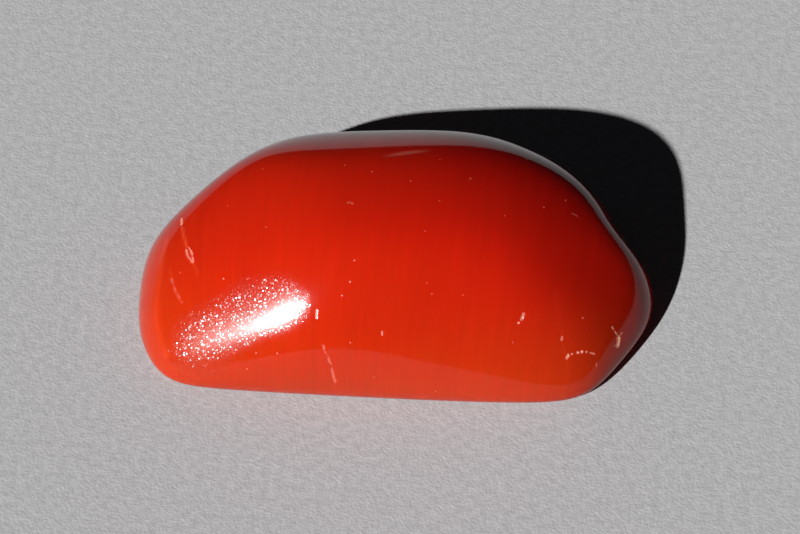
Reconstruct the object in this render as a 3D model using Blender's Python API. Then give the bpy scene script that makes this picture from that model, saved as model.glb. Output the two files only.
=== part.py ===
"""A polished freeform piece of red precious coral: one solid that lies on its flat ground base.

Metres, +Z up. The origin is the middle of the base, and the stone's long way is along X. The form is the
soft meeting of the faces that the piece was ground to before it was tumbled and polished.
"""
import math
from typing import NamedTuple

import bmesh
import bpy
import numpy as np

MM = 0.001

# Driving dimensions of the finished stone.
LENGTH = 26.0 * MM
WIDTH = 16.0 * MM
HEIGHT = 7.9 * MM

# The point inside the stone from which every face's reach is measured.
CORE = np.array((0.0, 0.0, 3.2 * MM))


class GroundFace(NamedTuple):
    """A flat that the stone was ground to, rounded into its neighbours."""

    name: str
    turn: float  # degrees from +X, seen from above, of the way the face looks
    lift: float  # degrees above level of the way the face looks
    reach: float  # distance from the core
    crispness: float  # how tightly it turns into its neighbours, per metre


class Hollow(NamedTuple):
    """A shallow smooth hollow rubbed into the stone."""

    name: str
    centre: tuple
    radii: tuple
    depth: float


# -Y is the near side, -X is the left end.
FACES = (
    GroundFace("near wall", -90.5, 2.0, 7.8 * MM, 1.6 / MM),
    GroundFace("near slope", -79.0, 38.0, 6.0 * MM, 1.7 / MM),
    GroundFace("near left slope", -113.5, 43.5, 6.8 * MM, 2.2 / MM),
    GroundFace("near left corner", -147.0, 10.0, 13.1 * MM, 2.0 / MM),
    GroundFace("crown", -100.0, 87.0, 4.8 * MM, 0.9 / MM),
    GroundFace("left crown", -155.0, 60.0, 6.6 * MM, 1.6 / MM),
    GroundFace("far slope", 98.0, 52.0, 5.55 * MM, 1.4 / MM),
    GroundFace("far wall", 92.0, 16.0, 7.3 * MM, 1.4 / MM),
    GroundFace("far right slope", 60.0, 36.0, 7.65 * MM, 1.6 / MM),
    GroundFace("left end", 180.0, 6.0, 12.85 * MM, 1.5 / MM),
    GroundFace("left slope", -175.0, 50.0, 8.3 * MM, 1.6 / MM),
    GroundFace("left shoulder", 138.0, 24.0, 8.8 * MM, 1.4 / MM),
    GroundFace("right slope", -24.0, 50.0, 7.3 * MM, 1.1 / MM),
    GroundFace("right end", 4.0, 12.0, 12.7 * MM, 2.4 / MM),
    GroundFace("right near corner", -32.0, 4.0, 12.6 * MM, 1.6 / MM),
    GroundFace("right far flat", 34.0, 20.0, 10.0 * MM, 2.4 / MM),
    GroundFace("base", 0.0, -90.0, 3.4 * MM, 2.0 / MM),
)

HOLLOWS = (
    Hollow("right saddle", (11.4 * MM, 1.8 * MM, 2.2 * MM), (1.3 * MM, 1.2 * MM, 3.0 * MM), 0.28 * MM),
)

# Squares along each side of the grid that is wrapped over the stone, and how far they crowd to its rim.
GRID = 56
RIM_CROWDING = 1.4

# Newton steps that settle each point on the surface, the longest step, and where they start.
SETTLING_STEPS = 40
LONGEST_STEP = 3.0 * MM
FIRST_REACH = 14.0 * MM

# Halvings that find where each ray meets the ground cut, between these two angles from straight up.
CUT_HALVINGS = 30
CUT_SEARCH = (math.radians(60), math.radians(165))

CORAL_RED = (0.60, 0.025, 0.008, 1.0)
CORAL_ROUGHNESS = 0.12


def clear_scene():
    """Removes every object that the scene holds."""
    for thing in list(bpy.data.objects):
        bpy.data.objects.remove(thing, do_unlink=True)


def face_normal(face):
    """Gives the unit direction that a face looks in."""
    turn = math.radians(face.turn)
    lift = math.radians(face.lift)
    level = math.cos(lift)
    return np.array((math.cos(turn) * level, math.sin(turn) * level, math.sin(lift)))


def stone_surface(rays):
    """Gives the point of the stone's surface along each unit ray from the core."""
    normals = np.array([face_normal(face) for face in FACES])
    crispness = np.array([face.crispness for face in FACES])
    reach = np.array([face.reach for face in FACES])
    slope = rays @ normals.T * crispness
    distance = np.full(len(rays), FIRST_REACH)
    for _ in range(SETTLING_STEPS):
        shares = np.exp(slope * distance[:, None] - crispness * reach)
        total = shares.sum(axis=1)
        step = np.log(total) * total / (shares * slope).sum(axis=1)
        distance = distance - np.clip(step, -LONGEST_STEP, LONGEST_STEP)
    points = CORE + rays * distance[:, None]
    for hollow in HOLLOWS:
        away = (points - np.array(hollow.centre)) / np.array(hollow.radii)
        depth = hollow.depth * np.exp(-(away * away).sum(axis=1))
        points = points - rays * depth[:, None]
    return points


def rays_at(turns, falls):
    """Gives unit rays from the core, turned round it and fallen from straight up, crowded to the ends."""
    rays = np.stack(
        (
            np.cos(turns) * np.sin(falls) * LENGTH / 2,
            np.sin(turns) * np.sin(falls) * WIDTH / 2,
            np.cos(falls) * (HEIGHT - CORE[2]),
        ),
        axis=1,
    )
    return rays / np.linalg.norm(rays, axis=1, keepdims=True)


def falls_to_cut(turns):
    """Gives how far a ray at each turn falls from straight up to meet the ground cut at Z 0."""
    above = np.full(len(turns), CUT_SEARCH[0])
    below = np.full(len(turns), CUT_SEARCH[1])
    for _ in range(CUT_HALVINGS):
        middle = (above + below) / 2
        high = stone_surface(rays_at(turns, middle))[:, 2] > 0
        above = np.where(high, middle, above)
        below = np.where(high, below, middle)
    return (above + below) / 2


def square_to_disc(across, along):
    """Maps points of a square, from -1 to 1, smoothly to a disc of radius 1, as radius and turn."""
    east = across * np.sqrt(1 - along * along / 2)
    north = along * np.sqrt(1 - across * across / 2)
    return np.minimum(np.hypot(east, north), 1.0), np.arctan2(north, east)


def fit_to_size(points):
    """Brings the surface to the driving dimensions, centred over the base, with the ground cut at Z 0."""
    low = points.min(axis=0)
    high = points.max(axis=0)
    middle = np.array(((low[0] + high[0]) / 2, (low[1] + high[1]) / 2, 0.0))
    scale = np.array((LENGTH / (high[0] - low[0]), WIDTH / (high[1] - low[1]), HEIGHT / high[2]))
    return (points - middle) * scale


def make_coral_mesh():
    """Wraps a square grid over the stone, with its rim on the ground cut, and closes it with the base."""
    body = bmesh.new()
    bmesh.ops.create_grid(body, x_segments=GRID, y_segments=GRID, size=1.0)
    flat = np.array([vert.co[:2] for vert in body.verts])
    radii, turns = square_to_disc(flat[:, 0], flat[:, 1])
    falls = (1 - (1 - radii) ** RIM_CROWDING) * falls_to_cut(turns)
    surface = fit_to_size(stone_surface(rays_at(turns, falls)))
    for vert, point in zip(body.verts, surface):
        vert.co = point
    rim = [edge for edge in body.edges if edge.is_boundary]
    for edge in rim:
        for vert in edge.verts:
            vert.co.z = 0.0
    bmesh.ops.holes_fill(body, edges=rim, sides=0)
    bmesh.ops.recalc_face_normals(body, faces=body.faces[:])
    mesh = bpy.data.meshes.new("coral")
    body.to_mesh(mesh)
    body.free()
    return mesh


def make_coral_material():
    """Makes the stone's polished red material."""
    material = bpy.data.materials.new("coral")
    material.use_nodes = True
    shader = material.node_tree.nodes["Principled BSDF"]
    shader.inputs["Base Color"].default_value = CORAL_RED
    shader.inputs["Roughness"].default_value = CORAL_ROUGHNESS
    shader.inputs["Metallic"].default_value = 0.0
    return material


def make_coral():
    """Places the stone in the scene, smooth everywhere but round its ground base."""
    mesh = make_coral_mesh()
    mesh.materials.append(make_coral_material())
    mesh.shade_smooth()
    mesh.set_sharp_from_angle(angle=math.radians(35))
    coral = bpy.data.objects.new("coral", mesh)
    bpy.context.scene.collection.objects.link(coral)
    return coral


clear_scene()
make_coral()
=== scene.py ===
"""Looks of a polished freeform piece of red precious coral that lies on pale paper.

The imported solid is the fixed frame. A finer skin is wrapped over the same ground faces, its small chips, pits
and cracks are pressed into it, and it is dressed as polished, slightly see-through coral. Sizes are metres.
"""

import logging
import math
from collections.abc import Callable
from dataclasses import dataclass, field
from enum import Enum

import bmesh
import bpy
import numpy as np
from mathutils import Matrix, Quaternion, Vector, noise
from mathutils.bvhtree import BVHTree


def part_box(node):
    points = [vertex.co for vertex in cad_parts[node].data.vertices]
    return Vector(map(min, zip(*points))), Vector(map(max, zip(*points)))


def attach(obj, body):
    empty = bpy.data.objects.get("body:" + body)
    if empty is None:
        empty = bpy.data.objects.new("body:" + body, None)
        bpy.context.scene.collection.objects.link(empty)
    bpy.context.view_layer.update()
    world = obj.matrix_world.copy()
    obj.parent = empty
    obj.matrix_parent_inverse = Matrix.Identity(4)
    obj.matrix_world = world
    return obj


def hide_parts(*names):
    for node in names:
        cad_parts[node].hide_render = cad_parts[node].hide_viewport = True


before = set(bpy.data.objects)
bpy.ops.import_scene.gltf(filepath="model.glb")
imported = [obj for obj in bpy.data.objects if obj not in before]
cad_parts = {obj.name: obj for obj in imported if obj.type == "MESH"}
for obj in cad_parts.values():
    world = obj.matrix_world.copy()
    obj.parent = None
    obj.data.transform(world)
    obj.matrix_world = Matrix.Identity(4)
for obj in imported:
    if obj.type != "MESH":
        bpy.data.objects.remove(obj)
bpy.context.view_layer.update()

MM = 0.001
PHOTO_WIDTH = 800
PHOTO_HEIGHT = 534

# How much smaller than the solid's box the visible skin is.
SKIN_CLEARANCE = 0.03 * MM

log = logging.getLogger("coral")

Pixel = tuple[float, float]
Span = tuple[float, float]
Colour = tuple[float, float, float, float]
Socket = bpy.types.NodeSocket


@dataclass(frozen=True)
class PhotoView:
    """Where the piece is seen from, and what each pixel of the photograph looks at.

    The turn is counted from +X as seen from above, and the lift from level, both in radians. The aim is the
    place in the middle of the picture, and the distance is counted from it.
    """

    turn: float = math.radians(-86.5)
    lift: float = math.radians(50.0)
    distance: float = 220 * MM
    lens_mm: float = 194.9
    sensor_mm: float = 36.0
    clip_start: float = 10 * MM
    aim: tuple[float, float, float] = (0.08 * MM, 0.02 * MM, 1.19 * MM)

    def position(self) -> Vector:
        """Returns the place of the camera."""
        return Vector(self.aim) + direction_to(self.turn, self.lift) * self.distance

    def rotation(self) -> Quaternion:
        """Returns the turn of the camera."""
        return (Vector(self.aim) - self.position()).to_track_quat("-Z", "Y")

    def sight_line(self, pixel: Pixel) -> Vector:
        """Gives the direction that a pixel of the photograph looks in.

        Args:
            pixel: The pixel, across and down from the photograph's top left corner.

        Returns:
            The unit direction from the camera.
        """
        per_pixel = self.sensor_mm / self.lens_mm / PHOTO_WIDTH
        across = (pixel[0] - PHOTO_WIDTH / 2) * per_pixel
        down = (pixel[1] - PHOTO_HEIGHT / 2) * per_pixel
        return self.rotation() @ Vector((across, -down, -1.0)).normalized()

    def pixel_of(self, place: Vector) -> Pixel:
        """Gives the pixel of the photograph that shows a place.

        Args:
            place: The place.

        Returns:
            The pixel, across and down from the photograph's top left corner.
        """
        seen = self.rotation().inverted() @ (place - self.position())
        pixels_per_slope = self.lens_mm / self.sensor_mm * PHOTO_WIDTH
        across = PHOTO_WIDTH / 2 - seen.x / seen.z * pixels_per_slope
        down = PHOTO_HEIGHT / 2 + seen.y / seen.z * pixels_per_slope
        return across, down

    def make_camera(self) -> None:
        """Makes the scene's camera at the photograph's viewing angle."""
        data = bpy.data.cameras.new("photo_view")
        data.lens = self.lens_mm
        data.sensor_width = self.sensor_mm
        data.clip_start = self.clip_start
        camera = bpy.data.objects.new("photo_view", data)
        camera.location = self.position()
        camera.rotation_mode = "QUATERNION"
        camera.rotation_quaternion = self.rotation()
        bpy.context.scene.collection.objects.link(camera)
        bpy.context.scene.camera = camera


def direction_to(turn: float, lift: float) -> Vector:
    """Gives the unit direction that is turned from +X and lifted from level.

    Args:
        turn: Radians from +X, seen from above.
        lift: Radians above level.

    Returns:
        The unit direction.
    """
    level = math.cos(lift)
    return Vector((math.cos(turn) * level, math.sin(turn) * level, math.sin(lift)))


@dataclass(frozen=True)
class GroundFace:
    """A flat that the stone was ground to, rounded into its neighbours.

    Attributes:
        turn: Degrees from +X, seen from above, of the way it looks.
        lift: Degrees above level of the way it looks.
        reach: How far it is from the stone's core.
        crispness: How tightly it turns into its neighbours, per metre.
    """

    name: str
    turn: float
    lift: float
    reach: float
    crispness: float

    def normal(self) -> Vector:
        """Returns the unit direction that the face looks in."""
        return direction_to(math.radians(self.turn), math.radians(self.lift))


@dataclass(frozen=True)
class Hollow:
    """A shallow smooth hollow rubbed into the stone, placed before the stone is brought to size."""

    name: str
    centre: tuple[float, float, float]
    radii: tuple[float, float, float]
    depth: float


GROUND_FACES = (
    GroundFace("near wall", -90.5, 2.0, 7.8 * MM, 1.6 / MM),
    GroundFace("near slope", -79.0, 38.0, 6.0 * MM, 1.7 / MM),
    GroundFace("near left slope", -113.5, 43.5, 6.8 * MM, 2.2 / MM),
    GroundFace("near left corner", -147.0, 10.0, 13.1 * MM, 2.0 / MM),
    GroundFace("crown", -100.0, 87.0, 4.8 * MM, 0.9 / MM),
    GroundFace("left crown", -155.0, 60.0, 6.6 * MM, 1.6 / MM),
    GroundFace("far slope", 98.0, 52.0, 5.55 * MM, 1.4 / MM),
    GroundFace("far wall", 92.0, 16.0, 7.3 * MM, 1.4 / MM),
    GroundFace("far right slope", 60.0, 36.0, 7.65 * MM, 1.6 / MM),
    GroundFace("left end", 180.0, 6.0, 12.85 * MM, 1.5 / MM),
    GroundFace("left slope", -175.0, 50.0, 8.3 * MM, 1.6 / MM),
    GroundFace("left shoulder", 138.0, 24.0, 8.8 * MM, 1.4 / MM),
    GroundFace("right slope", -24.0, 50.0, 7.3 * MM, 1.1 / MM),
    GroundFace("right end", 4.0, 12.0, 12.7 * MM, 2.4 / MM),
    GroundFace("right near corner", -32.0, 4.0, 12.6 * MM, 1.6 / MM),
    GroundFace("right far flat", 34.0, 20.0, 10.0 * MM, 2.4 / MM),
    GroundFace("base", 0.0, -90.0, 3.4 * MM, 2.0 / MM),
)

HOLLOWS = (
    Hollow("right saddle", (11.4 * MM, 1.8 * MM, 2.2 * MM), (1.3 * MM, 1.2 * MM, 3.0 * MM), 0.28 * MM),
)


@dataclass
class StoneForm:
    """The soft meeting of the ground faces, brought to the solid's box.

    Each point is settled on the surface by Newton steps from first_reach, along its own ray from the core.
    The rim of the ground cut is found at cut_turns round the core, by halving cut_search from straight up.
    The middle and the scale are known once the surface is fitted to the box.
    """

    faces: tuple[GroundFace, ...] = GROUND_FACES
    hollows: tuple[Hollow, ...] = HOLLOWS
    core_height: float = 3.2 * MM
    settling_steps: int = 30
    longest_step: float = 3.0 * MM
    first_reach: float = 14.0 * MM
    cut_turns: int = 1440
    cut_halvings: int = 26
    cut_search: Span = (math.radians(60), math.radians(165))
    rim_crowding: float = 1.1
    middle: np.ndarray = field(default_factory=lambda: np.zeros(3))
    scale: np.ndarray = field(default_factory=lambda: np.ones(3))

    def core(self) -> np.ndarray:
        """Returns the point that every face's reach is measured from."""
        return np.array((0.0, 0.0, self.core_height))

    def surface(self, rays: np.ndarray) -> np.ndarray:
        """Gives the surface along rays from the core, before it is brought to size.

        Args:
            rays: Unit rays, one a row.

        Returns:
            The surface's points, one a row.
        """
        normals = np.array([face.normal() for face in self.faces])
        crispness = np.array([face.crispness for face in self.faces])
        reach = np.array([face.reach for face in self.faces])
        slope = rays @ normals.T * crispness
        distance = np.full(len(rays), self.first_reach)
        for _ in range(self.settling_steps):
            shares = np.exp(slope * distance[:, None] - crispness * reach)
            total = shares.sum(axis=1)
            step = np.log(total) * total / (shares * slope).sum(axis=1)
            distance = distance - np.clip(step, -self.longest_step, self.longest_step)
        points = self.core() + rays * distance[:, None]
        for hollow in self.hollows:
            away = (points - np.array(hollow.centre)) / np.array(hollow.radii)
            depth = hollow.depth * np.exp(-(away * away).sum(axis=1))
            points = points - rays * depth[:, None]
        return points

    def rays_at(self, turns: np.ndarray, falls: np.ndarray) -> np.ndarray:
        """Gives unit rays from the core, crowded to the stone's ends.

        Args:
            turns: Radians round the core.
            falls: Radians fallen from straight up.

        Returns:
            The rays, one a row.
        """
        low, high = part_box("coral")
        length, width, height = high - low
        rays = np.stack(
            (
                np.cos(turns) * np.sin(falls) * length / 2,
                np.sin(turns) * np.sin(falls) * width / 2,
                np.cos(falls) * (height - self.core_height),
            ),
            axis=1,
        )
        return rays / np.linalg.norm(rays, axis=1, keepdims=True)

    def falls_to_cut(self, turns: np.ndarray) -> np.ndarray:
        """Gives how far a ray at each turn falls from straight up to meet the ground cut.

        Args:
            turns: Radians round the core.

        Returns:
            Radians from straight up.
        """
        around = np.linspace(-math.pi, math.pi, self.cut_turns + 1)
        above = np.full(len(around), self.cut_search[0])
        below = np.full(len(around), self.cut_search[1])
        for _ in range(self.cut_halvings):
            half = (above + below) / 2
            high = self.surface(self.rays_at(around, half))[:, 2] > 0
            above = np.where(high, half, above)
            below = np.where(high, below, half)
        return np.interp(turns, around, (above + below) / 2)

    def wrapped_grid(self, across: np.ndarray, along: np.ndarray) -> np.ndarray:
        """Wraps points of a square over the stone, with the square's sides on the ground cut.

        Args:
            across: Places from -1 to 1 along one side.
            along: Places from -1 to 1 along the other.

        Returns:
            Points on the stone, brought to size.
        """
        east = across * np.sqrt(1 - along * along / 2)
        north = along * np.sqrt(1 - across * across / 2)
        radii = np.minimum(np.hypot(east, north), 1.0)
        turns = np.arctan2(north, east)
        falls = (1 - (1 - radii) ** self.rim_crowding) * self.falls_to_cut(turns)
        points = self.surface(self.rays_at(turns, falls))
        self.fit_to_box(points)
        return self.to_size(points)

    def fit_to_box(self, points: np.ndarray) -> None:
        """Finds the shift and scale that bring the surface just inside the solid's box.

        Args:
            points: Points all over the surface, before it is brought to size.
        """
        box_low, box_high = (np.array(corner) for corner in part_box("coral"))
        low = points.min(axis=0)
        high = points.max(axis=0)
        self.middle = np.array(((low[0] + high[0]) / 2, (low[1] + high[1]) / 2, 0.0))
        self.scale = (box_high - box_low - SKIN_CLEARANCE) / (high - low)
        self.scale[2] = (box_high[2] - SKIN_CLEARANCE) / high[2]

    def to_size(self, points: np.ndarray) -> np.ndarray:
        """Brings points to the stone's size."""
        return (points - self.middle) * self.scale

    def settled(self, points: np.ndarray) -> np.ndarray:
        """Moves sized points onto the surface, each along its own ray from the core.

        Args:
            points: Points near the surface, one a row.

        Returns:
            Points on the surface.
        """
        rays = points / self.scale + self.middle - self.core()
        rays = rays / np.linalg.norm(rays, axis=1, keepdims=True)
        return self.to_size(self.surface(rays))


class MarkKind(Enum):
    """What made a small mark, which says how it is pressed into the skin."""

    CHIP = "flake broken out of the polish"
    PIT = "round hole that the polish opened"
    CRACK = "fine broken line"
    DENT = "smooth groove that the polish runs through"


CHIP, PIT, CRACK, DENT = MarkKind


@dataclass(frozen=True)
class Mark:
    """A small flaw in the polished skin, placed by where the photograph shows it.

    Attributes:
        seen: The pixels along its middle line.
        reach: Half its width.
        chalk_and_sheen: How much of its floor is chalky, from 0 to 1.
        dark: How much of its floor is in the shade, from 0 to 1.
        raggedness: How uneven its edge is, from 0 to 1.
    """

    name: str
    kind: MarkKind
    seen: tuple[Pixel, ...]
    reach: float
    depth: float
    # On the far groove this share paints a pale sheen, a painted reflection, rather than chalk.
    chalk_and_sheen: float = 0.0
    dark: float = 0.0
    raggedness: float = 0.35


@dataclass(frozen=True)
class Vein:
    """A line of paler coral under the polish, which is colour alone, where the photograph shows it."""

    name: str
    seen: tuple[Pixel, ...]
    reach: float
    strength: float


MARKS = (
    Mark("left shoulder chip", CHIP, ((181, 219), (181.5, 224)), 0.10 * MM, 0.04 * MM, chalk_and_sheen=0.6),
    Mark("left loop side", CRACK, ((186, 250), (188, 257), (192, 262)), 0.08 * MM, 0.03 * MM, chalk_and_sheen=0.4),
    Mark("left loop top", CRACK, ((186, 250), (188.5, 247.5), (191, 251)), 0.05 * MM, 0.02 * MM, chalk_and_sheen=0.5),
    Mark("left loop", CRACK, ((191, 251), (192.5, 256), (193, 262)), 0.08 * MM, 0.03 * MM, chalk_and_sheen=0.45),
    Mark("left low flake", CRACK, ((171.3, 279), (175.6, 292), (181.7, 302)), 0.10 * MM, 0.02 * MM,
         chalk_and_sheen=0.12),
    Mark("bright nick", CHIP, ((316.7, 310), (316.3, 318)), 0.055 * MM, 0.015 * MM, chalk_and_sheen=0.8,
         raggedness=0.2),
    Mark("near crack", CRACK, ((323, 346), (325.5, 353), (330, 363), (332, 371), (335, 382)),
         0.08 * MM, 0.04 * MM, chalk_and_sheen=0.28, raggedness=0.7),
    Mark("near crack foot", CHIP, ((333, 375), (334.5, 381)), 0.08 * MM, 0.02 * MM, chalk_and_sheen=0.3),
    Mark("middle nick", CHIP, ((382, 331.5), (382, 335)), 0.045 * MM, 0.03 * MM, chalk_and_sheen=0.6, raggedness=0.1),
    Mark("right chip", CHIP, ((523.5, 314), (521.5, 319)), 0.10 * MM, 0.05 * MM, chalk_and_sheen=0.4),
    Mark("right chip foot", CHIP, ((518.5, 323),), 0.07 * MM, 0.04 * MM, chalk_and_sheen=0.7),
    Mark("right upper nick", CHIP, ((582.7, 318),), 0.07 * MM, 0.03 * MM, chalk_and_sheen=0.4),
    Mark("right lower nick", CHIP, ((561.8, 337), (561.4, 340)), 0.07 * MM, 0.03 * MM, chalk_and_sheen=0.4),
    Mark("pit row start", CHIP, ((567, 358), (568, 355.5)), 0.09 * MM, 0.05 * MM, chalk_and_sheen=0.6),
    Mark("pit row second", CHIP, ((572, 354),), 0.06 * MM, 0.04 * MM, chalk_and_sheen=0.6),
    Mark("pit row third", PIT, ((577.7, 352.7),), 0.09 * MM, 0.06 * MM, chalk_and_sheen=0.7),
    Mark("pit row fourth", PIT, ((581.6, 351.8),), 0.10 * MM, 0.06 * MM, chalk_and_sheen=0.8),
    Mark("pit row fifth", PIT, ((586.3, 352),), 0.06 * MM, 0.04 * MM, chalk_and_sheen=0.7),
    Mark("pit row end", CHIP, ((590.5, 353), (594, 354)), 0.06 * MM, 0.03 * MM, chalk_and_sheen=0.45),
    Mark("right star", CHIP, ((618.6, 338.5), (618, 345.5)), 0.16 * MM, 0.05 * MM, chalk_and_sheen=0.95),
    Mark("right star upper arm", CRACK, ((612, 327), (617.5, 336)), 0.06 * MM, 0.03 * MM, chalk_and_sheen=0.6),
    Mark("right star side arm", CRACK, ((618, 338), (622, 333)), 0.07 * MM, 0.04 * MM, chalk_and_sheen=0.6),
    Mark("right star low arm", CRACK, ((618, 345), (613, 347)), 0.06 * MM, 0.03 * MM, chalk_and_sheen=0.5),
    Mark("right fleck", CHIP, ((596.4, 364), (596.4, 366)), 0.05 * MM, 0.03 * MM, chalk_and_sheen=0.5),
    Mark("ridge pit", PIT, ((626.0, 239.5),), 0.15 * MM, 0.10 * MM, dark=0.9, raggedness=0.2),
    # The far groove's pale colour is a painted reflection: a pale streak where the groove's flat mirrors the
    # paper.
    Mark("far groove", DENT, ((380, 157), (405, 153), (434, 150)), 0.26 * MM, 0.020 * MM,
         chalk_and_sheen=0.16, raggedness=0.0),
    Mark("whorl", CRACK, ((346, 204), (349.6, 202), (353, 204)), 0.06 * MM, 0.01 * MM, chalk_and_sheen=0.2),
    Mark("right streak", CRACK, ((571, 213), (574, 214), (577, 216)), 0.06 * MM, 0.01 * MM, chalk_and_sheen=0.2),
)

SPECK_REACH = 0.045 * MM
SPECK_DEPTH = 0.02 * MM
SPECK_CHALK = 0.35
SPECKS: tuple[Pixel, ...] = (
    (486.8, 147.5), (439.8, 159.3), (470.4, 178.6), (410.7, 181), (526.6, 158.8), (565.4, 200.5),
    (505, 215.7), (543.8, 207.3), (439.5, 200.7), (425, 231), (463, 295), (426.8, 283), (431.8, 294),
    (227.6, 206), (266, 227), (372, 171.7), (345, 165), (262.6, 169), (354, 260.5), (341.5, 295.6),
    (349.6, 282), (350, 342.6), (277, 353), (373.7, 377.4), (247, 369), (256, 353), (180, 272.5),
    (223.5, 279), (512.7, 342.5), (435.7, 391.6),
)

VEINS = (
    Vein("left vein upper", ((181.7, 227), (184, 237), (186.8, 247)), 0.12 * MM, 0.3),
    Vein("left vein lower", ((193, 262), (197, 274)), 0.12 * MM, 0.15),
    Vein("left end vein", ((170, 268), (175, 290), (182, 303)), 0.15 * MM, 0.08),
    Vein("left end line", ((166, 240), (160, 275), (156, 320), (166, 355)), 0.30 * MM, 0.12),
    Vein("right vein", ((555, 291), (559, 320), (564, 350), (567.5, 375), (562, 398)), 0.14 * MM, 0.04),
)


@dataclass(frozen=True)
class PlacedLine:
    """A line of points on the skin that a mark or a vein follows."""

    points: np.ndarray

    def along(self, places: np.ndarray) -> np.ndarray:
        """Measures how far along the line places are.

        Args:
            places: Places, one a row.

        Returns:
            The share of the way from the line's start to its end, for each.
        """
        run = self.points[-1] - self.points[0]
        return np.clip((places - self.points[0]) @ run / (run @ run), 0.0, 1.0)

    def away(self, places: np.ndarray) -> np.ndarray:
        """Measures how far places are from the line.

        Args:
            places: Places, one a row.

        Returns:
            The distance of each.
        """
        nearest = np.linalg.norm(places - self.points[0], axis=1)
        for start, end in zip(self.points[:-1], self.points[1:]):
            run = end - start
            share = np.clip((places - start) @ run / (run @ run), 0.0, 1.0)
            gap = np.linalg.norm(places - (start + share[:, None] * run), axis=1)
            nearest = np.minimum(nearest, gap)
        return nearest


# The pixels along the middle of the satin patch, the distance in which it fades from full to none, and its
# fullness at its middle before that is held to 1.
SATIN_PATH: tuple[Pixel, ...] = ((198, 348), (226, 325), (252, 305), (271, 302))
SATIN_REACH = 1.9 * MM
SATIN_FULLNESS = 1.25

# How far apart the places are that the noises of two seeds are read from.
SEED_STRIDE = (7.3, 3.1, 5.7)


def eased(share: np.ndarray) -> np.ndarray:
    """Returns shares from 0 to 1 that leave both ends smoothly."""
    return share * share * (3 - 2 * share)


def noise_at(places: np.ndarray, size: float, seed: float = 0.0) -> np.ndarray:
    """Reads smooth noise from about -1 to 1.

    Args:
        places: Places, one a row.
        size: The size of its lumps.
        seed: Which noise of many.

    Returns:
        The noise at each place.
    """
    shift = Vector([seed * stride for stride in SEED_STRIDE])
    return np.array([noise.noise(Vector(place) / size + shift) for place in places])


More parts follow.
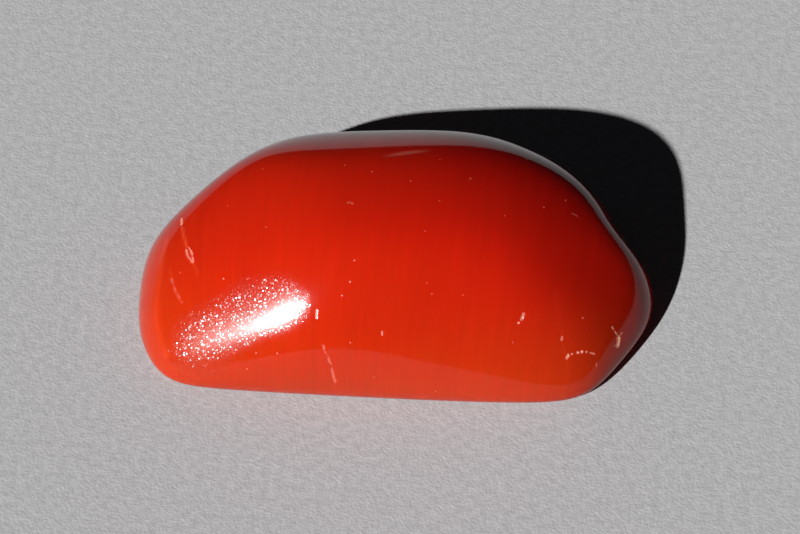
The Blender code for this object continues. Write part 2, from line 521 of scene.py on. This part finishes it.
@dataclass
class CoralPiece:
    """The stone's visible skin: its fine form, its flaws and its finish.

    The unseen pits lie between two ways from the core, unseen_lift, and unseen_steepness is their depth as
    a share of their reach. A line of sight that misses the stone is moved by outline_step of the way to its
    middle. The flaws and veins are known, with their places, once the skin is made.
    """

    view: PhotoView
    form: StoneForm = field(default_factory=StoneForm)
    cells: int = 200
    base_angle: float = math.radians(50)
    wave_size: float = 3.2 * MM
    wave_depth: float = 0.003 * MM
    wave_level: float = 0.6
    shore_height: float = 1.0 * MM
    unseen_pits: int = 26
    unseen_seed: int = 11
    unseen_lift: Span = (-0.25, 1.0)
    unseen_reach_mm: Span = (0.04, 0.09)
    unseen_steepness: float = 0.45
    unseen_chalk: float = 0.7
    outline_step: float = 0.01
    refine_margins: tuple[float, ...] = (0.36 * MM, 0.20 * MM, 0.09 * MM)
    flaws: list[tuple[Mark, PlacedLine]] = field(default_factory=list)
    veins: list[tuple[Vein, PlacedLine]] = field(default_factory=list)

    def build(self) -> bpy.types.Object:
        """Makes the stone, dresses it and hangs it on the frame.

        Returns:
            The finished piece.
        """
        body, satin = self.make_skin()
        self.press_marks(body, satin)
        self.close_base(body)
        mesh = bpy.data.meshes.new("coral_stone")
        body.to_mesh(mesh)
        body.free()
        mesh.shade_smooth()
        mesh.set_sharp_from_angle(angle=self.base_angle)
        mesh.materials.append(CoralFinish().make_material())
        piece = bpy.data.objects.new("coral_stone", mesh)
        bpy.context.scene.collection.objects.link(piece)
        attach(piece, "root")
        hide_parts("coral")
        return piece

    def make_skin(self) -> tuple[bmesh.types.BMesh, PlacedLine]:
        """Wraps the grid over the stone, finds where the flaws lie and makes the grid fine there.

        Returns:
            The skin, and the line that the satin patch follows.
        """
        body = bmesh.new()
        bmesh.ops.create_grid(body, x_segments=self.cells, y_segments=self.cells, size=1.0)
        flat = np.array([vert.co[:2] for vert in body.verts])
        set_places(body, self.form.wrapped_grid(flat[:, 0], flat[:, 1]))
        body.normal_update()
        skin = BVHTree.FromBMesh(body)
        self.flaws = [(mark, self.placed(skin, mark.seen)) for mark in self.seen_marks()]
        self.flaws += self.unseen_flaws(skin)
        self.veins = [(vein, self.placed(skin, vein.seen)) for vein in VEINS]
        for margin in self.refine_margins:
            self.refine(body, margin)
        self.settle(body)
        return body, self.placed(skin, SATIN_PATH)

    def seen_marks(self) -> list[Mark]:
        """Returns every mark that is placed by the photograph, the specks after the named ones."""
        specks = [
            Mark(f"speck {number}", PIT, (seen,), SPECK_REACH, SPECK_DEPTH, SPECK_CHALK)
            for number, seen in enumerate(SPECKS)
        ]
        return [*MARKS, *specks]

    def unseen_flaws(self, skin: BVHTree) -> list[tuple[Mark, PlacedLine]]:
        """Scatters small pits over the sides that the photograph doesn't show.

        Args:
            skin: The skin as a tree of its faces.

        Returns:
            The pits, each with its place on the skin.
        """
        chance = np.random.default_rng(self.unseen_seed)
        eye = self.view.position()
        core = Vector(self.form.core())
        flaws = []
        while len(flaws) < self.unseen_pits:
            way = direction_to(chance.uniform(-math.pi, math.pi), chance.uniform(*self.unseen_lift))
            reach = chance.uniform(*self.unseen_reach_mm) * MM
            depth = reach * self.unseen_steepness
            pit = Mark(f"unseen pit {len(flaws)}", PIT, (), reach, depth, self.unseen_chalk)
            hit, normal, _, _ = skin.ray_cast(core, way)
            if hit is not None and normal.dot(eye - hit) < 0:
                flaws.append((pit, PlacedLine(np.array([hit]))))
        return flaws

    def placed(self, skin: BVHTree, seen: tuple[Pixel, ...]) -> PlacedLine:
        """Finds the line on the skin that pixels of the photograph look at.

        A pixel that looks just past the stone is moved towards its middle until it meets the skin.

        Args:
            skin: The skin as a tree of its faces.
            seen: The pixels along the line.

        Returns:
            The line on the skin.
        """
        eye = self.view.position()
        middle = self.view.pixel_of(Vector((0.0, 0.0, self.form.core_height)))
        points = []
        for pixel in seen:
            hit = None
            while hit is None:
                hit, _, _, _ = skin.ray_cast(eye, self.view.sight_line(pixel))
                pixel = tuple(own + (inner - own) * self.outline_step for own, inner in zip(pixel, middle))
            points.append(hit)
        return PlacedLine(np.array(points))

    def refine(self, body: bmesh.types.BMesh, margin: float) -> None:
        """Halves the grid's squares round the flaws.

        Args:
            body: The skin.
            margin: How far round each flaw, past its own reach.
        """
        body.verts.index_update()
        places = np.array([vert.co for vert in body.verts])
        near = np.zeros(len(places), dtype=bool)
        for mark, line in self.flaws:
            near |= line.away(places) < mark.reach + margin
        edges = [edge for edge in body.edges if all(near[vert.index] for vert in edge.verts)]
        bmesh.ops.subdivide_edges(body, edges=edges, cuts=1, use_grid_fill=True, use_single_edge=True)
        many_sided = [face for face in body.faces if len(face.verts) > 4]
        bmesh.ops.triangulate(body, faces=many_sided, quad_method="BEAUTY", ngon_method="BEAUTY")

    def settle(self, body: bmesh.types.BMesh) -> None:
        """Moves the skin's inner points onto the stone's surface, and its rim onto the ground cut.

        Args:
            body: The skin.
        """
        body.verts.index_update()
        rim = {vert.index for edge in body.edges if edge.is_boundary for vert in edge.verts}
        places = np.array([vert.co for vert in body.verts])
        settled = self.form.settled(places)
        for index in rim:
            settled[index] = places[index] * (1.0, 1.0, 0.0)
        set_places(body, settled)
        body.normal_update()

    def press_marks(self, body: bmesh.types.BMesh, satin: PlacedLine) -> None:
        """Presses the waves of the polish and the flaws into the skin, and notes where they are.

        Args:
            body: The skin.
            satin: The line that the satin patch follows.
        """
        places = np.array([vert.co for vert in body.verts])
        normals = np.array([vert.normal for vert in body.verts])
        offset = self.waves(places)
        chalk_and_sheen = np.zeros(len(places))
        dark = np.zeros(len(places))
        for number, (mark, line) in enumerate(self.flaws):
            near = np.flatnonzero(line.away(places) < mark.reach * WIDEST_RAGGED)
            pressed, shown = pressed_profile(mark, line, places[near], float(number))
            offset[near] -= pressed
            chalk_and_sheen[near] = np.maximum(chalk_and_sheen[near], shown * mark.chalk_and_sheen)
            dark[near] = np.maximum(dark[near], shown * mark.dark)
        worn = eased(np.clip(SATIN_FULLNESS - satin.away(places) / SATIN_REACH, 0.0, 1.0))
        set_places(body, places + normals * offset[:, None])
        note_values(body, {"chalk_and_sheen": chalk_and_sheen, "dark": dark, "vein": self.vein_strength(places), "satin": worn})

    def waves(self, places: np.ndarray) -> np.ndarray:
        """Gives the shallow waves that polishing left, which fade out towards the base.

        Args:
            places: Places on the skin, one a row.

        Returns:
            How far each is moved outwards, which is never more than 0.
        """
        shore = np.clip(places[:, 2] / self.shore_height, 0.0, 1.0)
        wave = noise_at(places, self.wave_size) - self.wave_level
        return np.minimum(wave, 0.0) * self.wave_depth * shore

    def vein_strength(self, places: np.ndarray) -> np.ndarray:
        """Gives how much of the veins' pale colour shows.

        Args:
            places: Places on the skin, one a row.

        Returns:
            The share of the pale colour at each.
        """
        pale = np.zeros(len(places))
        for vein, line in self.veins:
            share = np.clip(1 - line.away(places) / vein.reach, 0.0, 1.0)
            pale = np.maximum(pale, eased(share) * vein.strength)
        return pale

    def close_base(self, body: bmesh.types.BMesh) -> None:
        """Closes the skin with the flat ground base.

        Args:
            body: The skin.
        """
        rim = [edge for edge in body.edges if edge.is_boundary]
        bmesh.ops.holes_fill(body, edges=rim, sides=0)
        bmesh.ops.recalc_face_normals(body, faces=body.faces[:])


# How many times its reach a mark's ragged edge may spread to.
WIDEST_RAGGED = 2

# The lumps of a mark's edge and floor, as shares of its reach, and the floor's mean level and swing.
EDGE_LUMP = 0.9
FLOOR_LUMP = 0.5
FLOOR_LEVEL = 0.75
FLOOR_SWING = 0.5
FLOOR_SEED = 0.5  # from the edge's seed

# The length of a crack's unbroken runs, as a share of its reach, and how whole and how broken it is.
CRACK_RUN = 3.0
CRACK_LEVEL = 0.6
CRACK_SWING = 1.6

# How quickly a mark's colour comes up from its edge.
SHOWN_STEEPNESS = 2.5


def pressed_profile(
    mark: Mark, line: PlacedLine, places: np.ndarray, seed: float
) -> tuple[np.ndarray, np.ndarray]:
    """Gives how deep a mark is pressed at places near it, and how strongly it shows.

    Args:
        mark: The mark.
        line: Its line on the skin.
        places: Places near it, one a row.
        seed: Which noise makes its edge ragged.

    Returns:
        The depth at each place, and how strongly the mark shows there, from 0 to 1.
    """
    ragged = 1 + mark.raggedness * noise_at(places, mark.reach * EDGE_LUMP, seed)
    share = np.clip(1 - line.away(places) / (mark.reach * ragged), 0.0, 1.0)
    # A dent is pale along its whole groove; on the far groove that paleness is a painted reflection.
    if mark.kind is DENT:
        depth = eased(share * np.sin(line.along(places) * math.pi))
        return depth * mark.depth, depth
    if mark.kind is CHIP:
        lumps = FLOOR_LEVEL + FLOOR_SWING * noise_at(places, mark.reach * FLOOR_LUMP, seed + FLOOR_SEED)
        depth = np.sqrt(share) * lumps
    elif mark.kind is PIT:
        depth = share * (2 - share)
    else:
        run = noise_at(places, mark.reach * CRACK_RUN, seed + FLOOR_SEED)
        share = share * np.clip(CRACK_LEVEL + CRACK_SWING * run, 0.0, 1.0)
        depth = share
    return depth * mark.depth, np.clip(share * SHOWN_STEEPNESS, 0.0, 1.0)


def set_places(body: bmesh.types.BMesh, places: np.ndarray) -> None:
    """Puts a body's points at the given places, in order."""
    for vert, place in zip(body.verts, places):
        vert.co = place


def note_values(body: bmesh.types.BMesh, values: dict[str, np.ndarray]) -> None:
    """Keeps named values on a body's points, in order.

    Args:
        body: The body.
        values: For each name, one value a point.
    """
    for name, column in values.items():
        layer = body.verts.layers.float.new(name)
        for vert, value in zip(body.verts, column):
            vert[layer] = value


class Wiring:
    """Places nodes in one tree and links them."""

    def __init__(self, tree: bpy.types.NodeTree) -> None:
        """Takes the tree that the nodes go in."""
        self.tree = tree

    def feed(self, node: bpy.types.Node, inputs: dict[str | int, object]) -> None:
        """Feeds a node's inputs.

        Args:
            node: The node.
            inputs: For each input by name or number, a socket to link or a value to set.
        """
        for key, value in inputs.items():
            if isinstance(value, Socket):
                self.tree.links.new(value, node.inputs[key])
            else:
                node.inputs[key].default_value = value

    def node(
        self, kind: str, inputs: dict[str | int, object] | None = None, **settings: object
    ) -> bpy.types.Node:
        """Adds a node.

        Args:
            kind: Its Blender type.
            inputs: For each input by name or number, a socket to link or a value to set.
            **settings: Its own settings by name.

        Returns:
            The node.
        """
        made = self.tree.nodes.new(kind)
        for name, value in settings.items():
            setattr(made, name, value)
        self.feed(made, inputs or {})
        return made

    def group(
        self, name: str, make: Callable[[], bpy.types.NodeTree], inputs: dict[str, object]
    ) -> bpy.types.Node:
        """Adds a shared node group.

        Args:
            name: The group's name.
            make: What makes the group when it isn't there yet.
            inputs: For each input, a socket to link or a value to set.

        Returns:
            The group's node.
        """
        tree = bpy.data.node_groups.get(name) or make()
        return self.node("ShaderNodeGroup", inputs, node_tree=tree)

    def noted(self, name: str) -> Socket:
        """Returns the value of that name that is kept on the mesh's points."""
        return self.node("ShaderNodeAttribute", attribute_name=name).outputs["Fac"]

    def bump(self, height: Socket) -> Socket:
        """Returns the normal that a height in millimetres leaves."""
        made = self.node("ShaderNodeBump", {"Height": height, "Distance": MM, "Strength": 1.0})
        return made.outputs["Normal"]

    def vector(self, operation: str, first: Socket, second: object) -> bpy.types.Node:
        """Returns a Vector Math node of two vectors."""
        return self.node("ShaderNodeVectorMath", {0: first, 1: second}, operation=operation)

    def place_in_mm(self) -> Socket:
        """Returns the shaded place in the part's own frame, in millimetres."""
        place = self.node("ShaderNodeTexCoord").outputs["Object"]
        return self.node("ShaderNodeVectorMath", {0: place, "Scale": 1 / MM}, operation="SCALE").outputs[0]

    def math(self, operation: str, *values: Socket | float, clamp: bool = False) -> Socket:
        """Returns the output of a Math node."""
        inputs = dict(enumerate(values))
        return self.node("ShaderNodeMath", inputs, operation=operation, use_clamp=clamp).outputs[0]

    def mix_colour(
        self, share: Socket | float, first: Socket | Colour, second: Socket | Colour, blend: str = "MIX"
    ) -> Socket:
        """Returns the output of a Mix node that mixes two colours."""
        inputs = {0: share, 6: first, 7: second}
        made = self.node("ShaderNodeMix", inputs, data_type="RGBA", blend_type=blend, clamp_factor=True)
        return made.outputs[2]

    def spread(self, value: Socket, low: float, high: float, to_low: float, to_high: float) -> Socket:
        """Returns a value moved smoothly from one span to another, held at its ends."""
        inputs = {"Value": value, "From Min": low, "From Max": high, "To Min": to_low, "To Max": to_high}
        return self.node("ShaderNodeMapRange", inputs, interpolation_type="SMOOTHSTEP").outputs[0]

    def noise(
        self, vector: Socket, scale: float | Socket, detail: float = 2.0, roughness: float = 0.5
    ) -> Socket:
        """Returns the value of a Noise Texture."""
        inputs = {"Vector": vector, "Scale": scale, "Detail": detail, "Roughness": roughness}
        return self.node("ShaderNodeTexNoise", inputs).outputs[0]


def new_group(
    name: str, inputs: dict[str, float | None], outputs: tuple[str, ...]
) -> tuple[Wiring, bpy.types.bpy_prop_collection]:
    """Starts a shader node group.

    Args:
        name: The group's name.
        inputs: Each input's name with its first value, or None for a vector.
        outputs: The names of the values that it puts out.

    Returns:
        The group's wiring, and what it is given, by name.
    """
    group = bpy.data.node_groups.new(name, "ShaderNodeTree")
    for label, value in inputs.items():
        kind = "NodeSocketVector" if value is None else "NodeSocketFloat"
        socket = group.interface.new_socket(name=label, in_out="INPUT", socket_type=kind)
        if value is not None:
            socket.default_value = value
    for label in outputs:
        group.interface.new_socket(name=label, in_out="OUTPUT", socket_type="NodeSocketFloat")
    wiring = Wiring(group)
    return wiring, wiring.node("NodeGroupInput").outputs


def put_out(wiring: Wiring, values: dict[str, Socket]) -> bpy.types.NodeTree:
    """Ends a shader node group.

    Args:
        wiring: The group's wiring.
        values: What it puts out, by name.

    Returns:
        The group.
    """
    wiring.node("NodeGroupOutput", values)
    return wiring.tree


# How far across from the stone's middle the growth lines' bow is full, in millimetres.
BOW_REACH = 8.0

# How far the growth lines lean, and the scale and depth of their wander.
LINE_LEAN = -0.06
WANDER_SCALE = 0.35
WANDER_DEPTH = 0.5

# How much finer each kind of line is than the period, how little either changes along its run, and how far
# apart their noises are.
LINE_FINENESS = {"Lines": 1.0, "Hairlines": 3.3}
LINE_DRIFT = 0.10
LINE_LAYER_GAP = 4.0


def make_growth_lines() -> bpy.types.NodeTree:
    """Makes the group of fine growth lines that run across the stone and follow its two ends.

    Returns:
        The group, which takes a place in millimetres.
    """
    wiring, given = new_group(
        "growth_lines", {"Place": None, "Period": 0.45, "Bend": 0.12}, tuple(LINE_FINENESS)
    )
    along, across, height = wiring.node("ShaderNodeSeparateXYZ", {0: given["Place"]}).outputs
    square = wiring.math("POWER", wiring.math("DIVIDE", across, BOW_REACH), 2.0)
    bend = wiring.math("MULTIPLY_ADD", square, given["Bend"], 1.0)
    leaning = wiring.math("MULTIPLY_ADD", across, LINE_LEAN, along)
    line = wiring.math("MULTIPLY", leaning, bend)
    wander = wiring.noise(given["Place"], WANDER_SCALE)
    line = wiring.math("MULTIPLY_ADD", wander, WANDER_DEPTH, line)
    line = wiring.math("DIVIDE", line, given["Period"])
    values = {}
    for number, (name, fineness) in enumerate(LINE_FINENESS.items()):
        drift = LINE_DRIFT * fineness
        vector = wiring.node(
            "ShaderNodeCombineXYZ",
            {
                0: wiring.math("MULTIPLY", line, fineness),
                1: wiring.math("MULTIPLY", across, drift),
                2: wiring.math("MULTIPLY_ADD", height, drift, LINE_LAYER_GAP * number),
            },
        ).outputs[0]
        values[name] = wiring.noise(vector, 1.0, detail=1.5)
    return put_out(wiring, values)


# The scale of the paper's mottle, as a share of its tooth's.
MOTTLE_SCALE = 0.4


def make_grain() -> bpy.types.NodeTree:
    """Makes the group of fine grain that gives the paper its tooth.

    Returns:
        The group, which takes a place in millimetres and puts out a height in millimetres and a mottle.
    """
    wiring, given = new_group(
        "fine_grain", {"Place": None, "Size": 0.1, "Height": 0.001}, ("Height", "Mottle")
    )
    scale = wiring.math("DIVIDE", 1.0, given["Size"])
    fine = wiring.noise(given["Place"], scale, detail=2.0, roughness=0.6)
    height = wiring.math("MULTIPLY", wiring.math("SUBTRACT", fine, 0.5), given["Height"])
    coarse = wiring.noise(given["Place"], wiring.math("MULTIPLY", scale, MOTTLE_SCALE), detail=3.0)
    return put_out(wiring, {"Height": height, "Mottle": coarse})


# Brings leans that are drawn evenly from -0.5 to 0.5 to a spread of 1.
EVEN_DRAW_SCALE = 3.46


def make_crystal_grain() -> bpy.types.NodeTree:
    """Makes the group of tiny flat facets, each tilted its own way, that crystals leave in the polish.

    Returns:
        The group, which takes a place in millimetres and puts out a height in millimetres.
    """
    wiring, given = new_group("crystal_grain", {"Place": None, "Size": 0.1, "Tilt": 0.1}, ("Height",))
    scale = wiring.math("DIVIDE", 1.0, given["Size"])
    cells = wiring.node("ShaderNodeTexVoronoi", {"Vector": given["Place"], "Scale": scale})
    lean = wiring.vector("SUBTRACT", cells.outputs["Color"], (0.5, 0.5, 0.5)).outputs[0]
    away = wiring.vector("SUBTRACT", given["Place"], cells.outputs["Position"]).outputs[0]
    ramp = wiring.vector("DOT_PRODUCT", lean, away).outputs["Value"]
    tilt = wiring.math("MULTIPLY", given["Tilt"], EVEN_DRAW_SCALE)
    return put_out(wiring, {"Height": wiring.math("MULTIPLY", ramp, tilt)})


def new_material(name: str) -> tuple[bpy.types.Material, Wiring]:
    """Returns a new material of that name with its wiring."""
    material = bpy.data.materials.new(name)
    material.use_nodes = True
    return material, Wiring(material.node_tree)


# The span that a noise mostly keeps to.
NOISE_SPAN: Span = (0.3, 0.7)


@dataclass(frozen=True)
class CoralFinish:
    """Polished red coral, more orange on its thin near, left and low edges, partly its own tone and partly
    painted glow of light passing through them, and darkened by painted shade on its far side and right end,
    which face away from the key light.

    The satin patch has facets of grain_size millimetres with a mean slope of satin_tilt, under a soft coat.
    Each span in millimetres says where a colour comes up: along the stone, across it or over the base. A
    warmth, share or depth says how much of the colour comes, and a light how dark and light the lines are.
    """

    # Painted shade: the deep red that darkens the far side and right end, away from the key light.
    deep_shade: Colour = (0.19, 0.002, 0.0012, 1.0)
    plain: Colour = (0.49, 0.0065, 0.0022, 1.0)
    # The coral's own warmer tone, also used as painted glow on its lit near and left sides.
    warm_and_glow: Colour = (0.50, 0.020, 0.003, 1.0)
    # Painted glow of light through the thin low edges, over the coral's own orange rim.
    edge: Colour = (0.46, 0.034, 0.004, 1.0)
    # Chalky white of broken coral, which on the far groove is a painted reflection.
    chalk_and_sheen: Colour = (0.92, 0.42, 0.30, 1.0)
    shade: Colour = (0.10, 0.004, 0.003, 1.0)
    vein: Colour = (0.95, 0.16, 0.05, 1.0)
    polished_roughness: float = 0.09
    satin_roughness: float = 0.19
    chalk_roughness: float = 0.5
    ior: float = 1.5
    specular: float = 0.32
    grain_size: float = 0.048
    satin_tilt: float = 0.112
    glow_mm: tuple[float, float, float] = (1.7, 0.30, 0.12)
    satin_coat: float = 0.45
    coat_roughness: float = 0.21
    coat_ior: float = 1.5
    cloud_scale: float = 0.16
    cloud_warmth: float = 0.2
    # Where the orange comes up and how much: partly the coral's own tone and partly painted glow on the thin,
    # lit edges.
    left_mm: Span = (-12.5, 9.0)
    near_mm: Span = (-6.5, -2.0)
    low_mm: Span = (0.5, 5.5)
    left_warmth: float = 0.45
    near_warmth: float = 0.45
    low_warmth: float = 0.3
    edge_glow_share: float = 0.8
    # Where the painted shade comes up and how deep it is: across to the far side, from left_share of it on the
    # left to all of it on the right, and at the right end.
    far_mm: Span = (-4.0, 3.0)
    far_shade_depth: float = 0.9
    right_mm: Span = (-2.0, 6.0)
    left_share: float = 0.38
    right_end_mm: Span = (4.0, 12.0)
    right_end_shade_depth: float = 0.35
    line_light: Span = (0.975, 1.015)
    hairline_light: Span = (0.965, 1.025)

    def make_material(self) -> bpy.types.Material:
        """Makes the stone's material.

        Returns:
            The material.
        """
        material, wiring = new_material("polished_coral")
        place = wiring.place_in_mm()
        chalk_and_sheen = wiring.noted("chalk_and_sheen")
        colour = self.body_colour(wiring, place)
        colour = wiring.mix_colour(chalk_and_sheen, colour, self.chalk_and_sheen)
        colour = wiring.mix_colour(wiring.noted("dark"), colour, self.shade)
        satin = wiring.noted("satin")
        roughness = wiring.spread(satin, 0.0, 1.0, self.polished_roughness, self.satin_roughness)
        roughness = wiring.math("MULTIPLY_ADD", chalk_and_sheen, self.chalk_roughness, roughness, clamp=True)
        coat = wiring.spread(satin, 0.0, 1.0, 0.0, self.satin_coat)
        coat = wiring.math("MULTIPLY", coat, wiring.math("SUBTRACT", 1.0, chalk_and_sheen))
        settings = {
            "Base Color": colour,
            "Roughness": roughness,
            "Normal": self.grain_normal(wiring, place, satin),
            "IOR": self.ior,
            "Specular IOR Level": self.specular,
            "Coat Weight": coat,
            "Coat IOR": self.coat_ior,
            "Coat Roughness": self.coat_roughness,
            "Subsurface Weight": 1.0,
            "Subsurface Radius": self.glow_mm,
            "Subsurface Scale": MM,
        }
        wiring.feed(material.node_tree.nodes["Principled BSDF"], settings)
        return material

    def body_colour(self, wiring: Wiring, place: Socket) -> Socket:
        """Mixes the stone's colour, with painted glow on its thin edges and painted shade on its far side and
        right end.

        Args:
            wiring: The material's wiring.
            place: The shaded place in millimetres.

        Returns:
            The colour.
        """
        along, across, height = wiring.node("ShaderNodeSeparateXYZ", {0: place}).outputs
        cloud = wiring.noise(place, self.cloud_scale, detail=3.0)
        # The left, low and near sides turn orange: partly the coral's own tone, partly painted glow of light
        # through them.
        leftness = wiring.spread(along, *self.left_mm, 1.0, 0.0)
        lowness = wiring.spread(height, *self.low_mm, 1.0, 0.0)
        nearness = wiring.spread(across, *self.near_mm, 1.0, 0.0)
        warmth = wiring.math("MULTIPLY", leftness, self.left_warmth)
        warmth = wiring.math("MULTIPLY_ADD", cloud, self.cloud_warmth, warmth)
        warmth = wiring.math("MULTIPLY_ADD", nearness, self.near_warmth, warmth)
        warmth = wiring.math("MULTIPLY_ADD", lowness, self.low_warmth, warmth, clamp=True)
        colour = wiring.mix_colour(warmth, self.plain, self.warm_and_glow)
        # Painted glow: thin low edges on the near and left sides take the paler orange edge colour.
        thin = wiring.math("MULTIPLY", lowness, wiring.math("MAXIMUM", leftness, nearness))
        colour = wiring.mix_colour(wiring.math("MULTIPLY", thin, self.edge_glow_share), colour, self.edge)
        # Painted shade: the far side and right end, turned away from the key light, are mixed towards the deep
        # red.
        rightness = wiring.spread(along, *self.right_mm, self.left_share, 1.0)
        depth = wiring.spread(across, *self.far_mm, 0.0, self.far_shade_depth)
        depth = wiring.math("MULTIPLY", depth, rightness)
        right_end = wiring.spread(along, *self.right_end_mm, 0.0, self.right_end_shade_depth)
        depth = wiring.math("MAXIMUM", depth, right_end)
        colour = wiring.mix_colour(depth, colour, self.deep_shade)
        lines = wiring.group("growth_lines", make_growth_lines, {"Place": place}).outputs
        light = wiring.spread(lines["Lines"], *NOISE_SPAN, *self.line_light)
        fine_light = wiring.spread(lines["Hairlines"], *NOISE_SPAN, *self.hairline_light)
        light = wiring.math("MULTIPLY", light, fine_light)
        grey = wiring.node("ShaderNodeCombineColor", {0: light, 1: light, 2: light}).outputs[0]
        colour = wiring.mix_colour(1.0, colour, grey, blend="MULTIPLY")
        return wiring.mix_colour(wiring.noted("vein"), colour, self.vein)

    def grain_normal(self, wiring: Wiring, place: Socket, satin: Socket) -> Socket:
        """Gives the normal that the facets of the satin patch leave.

        Args:
            wiring: The material's wiring.
            place: The shaded place in millimetres.
            satin: How much of the satin patch shows there.

        Returns:
            The normal.
        """
        tilt = wiring.spread(satin, 0.0, 1.0, 0.0, self.satin_tilt)
        inputs = {"Place": place, "Size": self.grain_size, "Tilt": tilt}
        grain = wiring.group("crystal_grain", make_crystal_grain, inputs)
        return wiring.bump(grain.outputs["Height"])


@dataclass(frozen=True)
class PaperFinish:
    """Plain pale drawing paper with a fine tooth, whose size and height are millimetres."""

    light: Colour = (0.470, 0.466, 0.474, 1.0)
    dim: Colour = (0.390, 0.386, 0.394, 1.0)
    roughness: float = 0.85
    tooth_size: float = 0.16
    tooth_height: float = 0.034
    mottle_span: Span = (0.25, 0.75)

    def make_material(self) -> bpy.types.Material:
        """Makes the paper's material.

        Returns:
            The material.
        """
        material, wiring = new_material("pale_paper")
        inputs = {"Place": wiring.place_in_mm(), "Size": self.tooth_size, "Height": self.tooth_height}
        grain = wiring.group("fine_grain", make_grain, inputs).outputs
        mottle = wiring.spread(grain["Mottle"], *self.mottle_span, 0.0, 1.0)
        settings = {
            "Base Color": wiring.mix_colour(mottle, self.dim, self.light),
            "Roughness": self.roughness,
            "Normal": wiring.bump(grain["Height"]),
        }
        wiring.feed(material.node_tree.nodes["Principled BSDF"], settings)
        return material


@dataclass(frozen=True)
class Studio:
    """The pale floor, the low light from one side and the dim room round the stone."""

    view: PhotoView
    floor_side: float = 6.0
    key_turn: float = math.radians(-126.0)
    key_lift: float = math.radians(33.0)
    key_strength: float = 5.60
    key_spread: float = math.radians(1.2)
    room_colour: Colour = (0.80, 0.88, 1.0, 1.0)
    room_strength: float = 0.0105

    def build(self) -> None:
        """Makes the floor, the light, the room and the camera."""
        bpy.context.scene.view_settings.view_transform = "Standard"
        self.make_floor()
        self.make_key()
        self.make_room()
        self.view.make_camera()

    def make_floor(self) -> None:
        """Makes the paper that the stone lies on."""
        half = self.floor_side / 2
        mesh = bpy.data.meshes.new("paper")
        corners = [(-half, -half, 0.0), (half, -half, 0.0), (half, half, 0.0), (-half, half, 0.0)]
        mesh.from_pydata(corners, [], [(0, 1, 2, 3)])
        mesh.materials.append(PaperFinish().make_material())
        floor = bpy.data.objects.new("paper", mesh)
        bpy.context.scene.collection.objects.link(floor)

    def make_key(self) -> None:
        """Makes the low key light."""
        data = bpy.data.lights.new("key", "SUN")
        data.energy = self.key_strength
        data.angle = self.key_spread
        key = bpy.data.objects.new("key", data)
        key.rotation_mode = "QUATERNION"
        key.rotation_quaternion = direction_to(self.key_turn, self.key_lift).to_track_quat("Z", "Y")
        bpy.context.scene.collection.objects.link(key)

    def make_room(self) -> None:
        """Makes the dim even light of the room."""
        world = bpy.data.worlds.new("room")
        world.use_nodes = True
        background = world.node_tree.nodes["Background"]
        background.inputs["Color"].default_value = self.room_colour
        background.inputs["Strength"].default_value = self.room_strength
        bpy.context.scene.world = world


def main() -> None:
    """Builds the studio and the coral, and reports each piece."""
    logging.basicConfig(level=logging.INFO, format="%(name)s: %(message)s")
    view = PhotoView()
    Studio(view).build()
    log.info("studio built")
    piece = CoralPiece(view).build()
    log.info("%s built with %d faces", piece.name, len(piece.data.polygons))


if __name__ == "__main__":
    main()
